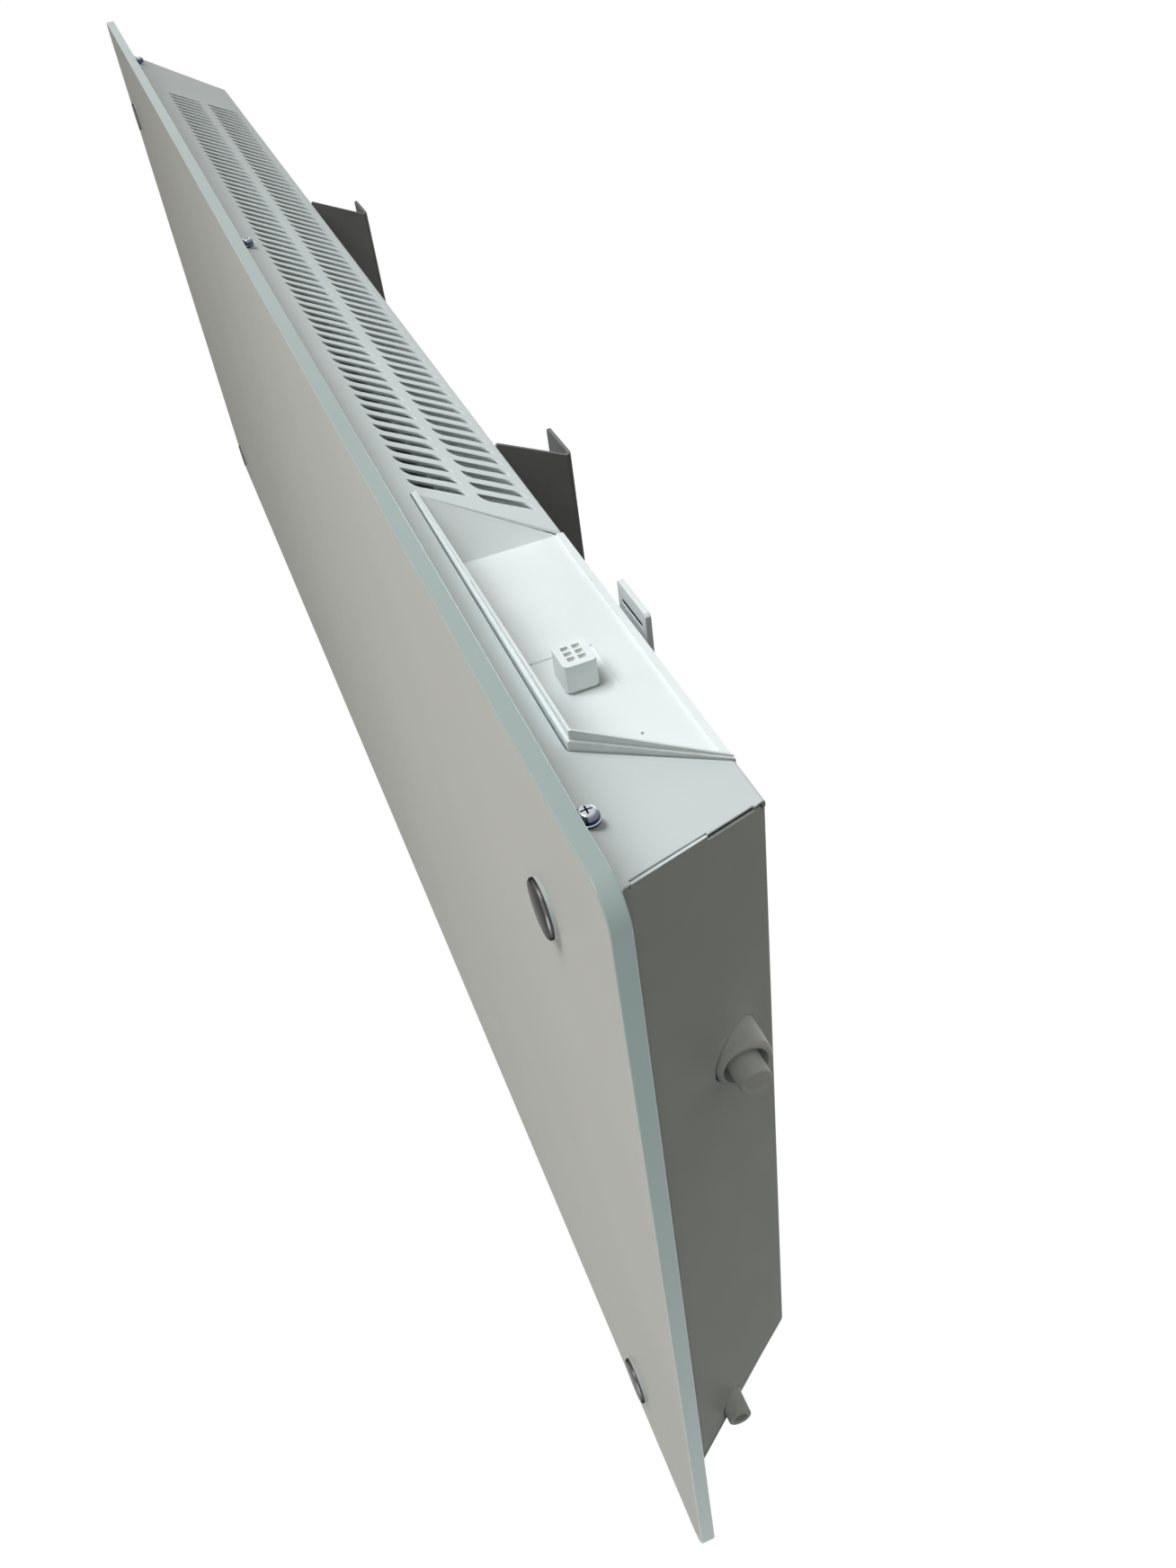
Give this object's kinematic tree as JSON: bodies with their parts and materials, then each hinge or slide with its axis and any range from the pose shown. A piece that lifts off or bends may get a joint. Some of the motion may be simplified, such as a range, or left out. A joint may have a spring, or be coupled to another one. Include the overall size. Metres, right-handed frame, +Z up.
{
  "type": "electric panel radiator",
  "caption": "Wall-hung electric panel radiator with a glass front, slotted sloping top, control tray, end switch and a steel wall bracket",
  "frame": {"origin": "on the wall plane, at mid length and mid height of the glass, on the back of the bracket rail", "axes": "+X along the radiator towards the end with the switch, +Y to the wall, +Z up"},
  "size_m": [0.93, 0.0933, 0.34],
  "materials": {
    "front_glass": "back-painted white float glass with polished green edge",
    "white_enamel": "satin powder coat",
    "white_plastic": "moulded, half gloss",
    "dark_chrome": "polished",
    "bracket_steel": "dark grey powder coat",
    "zinc_steel": "zinc plated",
    "raw_aluminium": "mill finish",
    "brass_part": "bright",
    "ceramic_part": "unglazed ceramic",
    "soft_rubber": "matt",
    "black_plastic": "moulded"
  },
  "bodies": {
    "bracket": {"bracket_arm_right": "bracket_steel", "bracket_arm_left": "bracket_steel", "bracket_rail": "bracket_steel", "wall_screw_right_upper": "zinc_steel", "wall_screw_right_lower": "zinc_steel", "wall_screw_left_upper": "zinc_steel", "wall_screw_left_lower": "zinc_steel"},
    "heater": {"glass_front": "front_glass", "glass_cap_right_upper": "dark_chrome", "glass_cap_right_lower": "dark_chrome", "glass_cap_left_upper": "dark_chrome", "glass_cap_left_lower": "dark_chrome", "glass_spacer_right_upper": "soft_rubber", "glass_spacer_right_lower": "soft_rubber", "glass_spacer_left_upper": "soft_rubber", "glass_spacer_left_lower": "soft_rubber", "glass_nut_right_upper": "zinc_steel", "glass_nut_right_lower": "zinc_steel", "glass_nut_left_upper": "zinc_steel", "glass_nut_left_lower": "zinc_steel", "top_cover": "white_enamel", "top_screw_right": "dark_chrome", "top_screw_middle": "dark_chrome", "top_screw_left": "dark_chrome", "end_panel_right": "white_enamel", "end_panel_left": "white_enamel", "front_plate": "white_enamel", "rear_panel": "white_enamel", "bottom_panel": "white_enamel", "casing_screw_right_upper": "zinc_steel", "casing_screw_right_lower": "zinc_steel", "casing_screw_left_upper": "zinc_steel", "casing_screw_left_lower": "zinc_steel", "control_tray": "white_plastic", "socket_block": "white_plastic", "socket_contacts": "brass_part", "catch_bracket": "zinc_steel", "catch_pin": "zinc_steel", "switch_collar": "white_plastic", "switch_body": "black_plastic", "cord_bush": "white_plastic", "heating_element": "raw_aluminium", "element_holder_right": "zinc_steel", "element_holder_left": "zinc_steel", "element_insulator_right": "ceramic_part", "element_insulator_left": "ceramic_part", "heat_shield": "raw_aluminium", "thermal_cutout": "black_plastic", "terminal_block": "black_plastic", "earth_screw": "brass_part", "lead_supply": "white_plastic", "lead_switch": "white_plastic", "lead_element": "white_plastic", "rear_buffer_right": "soft_rubber", "rear_buffer_left": "soft_rubber"},
    "button": {"switch_button": "white_plastic"},
    "catch": {"module_catch": "white_plastic"}
  },
  "joints": [
    {"name": "lift_off", "type": "slide", "parent": "bracket", "child": "heater", "axis": [0, 0, 1], "range_m": [0, 0.012]},
    {"name": "switch_press", "type": "slide", "parent": "heater", "child": "button", "axis": [-1, 0, 0], "range_m": [0, 0.003], "stiffness_N_per_m": 400, "springref_m": -0.001},
    {"name": "catch_tilt", "type": "hinge", "parent": "heater", "child": "catch", "pos_m": [0.3088, -0.024, 0.07], "axis": [-1, 0, 0], "range_deg": [0, 6], "stiffness_Nm_per_rad": 0.4, "springref_deg": -1.72}
  ]
}
